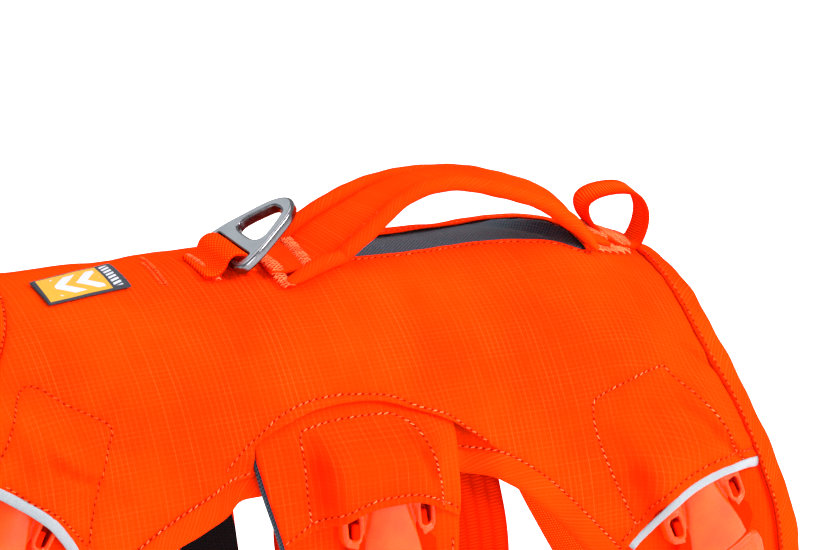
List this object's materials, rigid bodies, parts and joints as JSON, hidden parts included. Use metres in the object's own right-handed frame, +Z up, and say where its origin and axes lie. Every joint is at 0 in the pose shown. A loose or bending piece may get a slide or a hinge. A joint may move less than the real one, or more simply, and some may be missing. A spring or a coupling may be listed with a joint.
{
  "type": "dog harness",
  "caption": "Orange ripstop dog harness in worn form: padded back panel with grab handle, leash ring, side-release buckles, webbing straps and chest panel.",
  "frame": {"origin": "on the spine line, over the girth buckles, at the inner face of the lining that lies on the wearer's back", "axes": "+X towards the neck, +Y to the wearer's left, +Z up; the side seen in the picture is -Y"},
  "size_m": [0.4435, 0.2184, 0.3197],
  "materials": {
    "shell_cloth": "orange ripstop, satin",
    "webbing": "orange woven webbing",
    "lining_grey": "dark grey lining cloth, matt",
    "lining_black": "black padded lining, matt",
    "piping": "silver reflective tape",
    "buckle_plastic": "orange moulded plastic, satin",
    "ring_metal": "grey matt face, polished edges",
    "label_cloth": "woven patch, dark edge, amber field"
  },
  "bodies": {
    "harness": {"base_l": "shell_cloth", "base_r": "shell_cloth", "buckle_anchor_front_l": "webbing", "buckle_anchor_front_r": "webbing", "buckle_anchor_girth_l": "webbing", "buckle_anchor_girth_r": "webbing", "buckle_anchor_rear_l": "webbing", "buckle_anchor_rear_r": "webbing", "buckle_female_front_l": "buckle_plastic", "buckle_female_front_r": "buckle_plastic", "buckle_female_girth_l": "buckle_plastic", "buckle_female_girth_r": "buckle_plastic", "buckle_female_rear_l": "buckle_plastic", "buckle_female_rear_r": "buckle_plastic", "buckle_male_front_l": "buckle_plastic", "buckle_male_front_r": "buckle_plastic", "buckle_male_girth_l": "buckle_plastic", "buckle_male_girth_r": "buckle_plastic", "buckle_male_rear_l": "buckle_plastic", "buckle_male_rear_r": "buckle_plastic", "chest_lining": "lining_black", "chest_panel": "shell_cloth", "front_loop": "webbing", "handle_roll_far": "shell_cloth", "handle_roll_near": "shell_cloth", "handle_strip": "shell_cloth", "label": "label_cloth", "neck_binding": "shell_cloth", "piping_front_l": "piping", "piping_front_r": "piping", "piping_rear_l": "piping", "piping_rear_r": "piping", "shell": "shell_cloth", "side_binding_l": "shell_cloth", "side_binding_r": "shell_cloth", "slot_lining": "lining_grey", "strap_front_l": "webbing", "strap_front_r": "webbing", "strap_girth_l": "webbing", "strap_girth_r": "webbing", "strap_load_l": "webbing", "strap_load_r": "webbing", "strap_rear": "webbing", "tab_flap_l": "shell_cloth", "tab_flap_r": "shell_cloth", "tab_l": "shell_cloth", "tab_lining_l": "lining_grey", "tab_lining_r": "lining_grey", "tab_r": "shell_cloth", "tail_binding": "shell_cloth", "v_ring_webbing": "webbing"},
    "ring": {"v_ring": "ring_metal"}
  },
  "joints": [
    {"name": "ring_swing", "type": "hinge", "parent": "harness", "child": "ring", "pos_m": [-0.079, -0.004, 0.0156], "axis": [0, -1, 0], "range_deg": [-10, 110]}
  ]
}
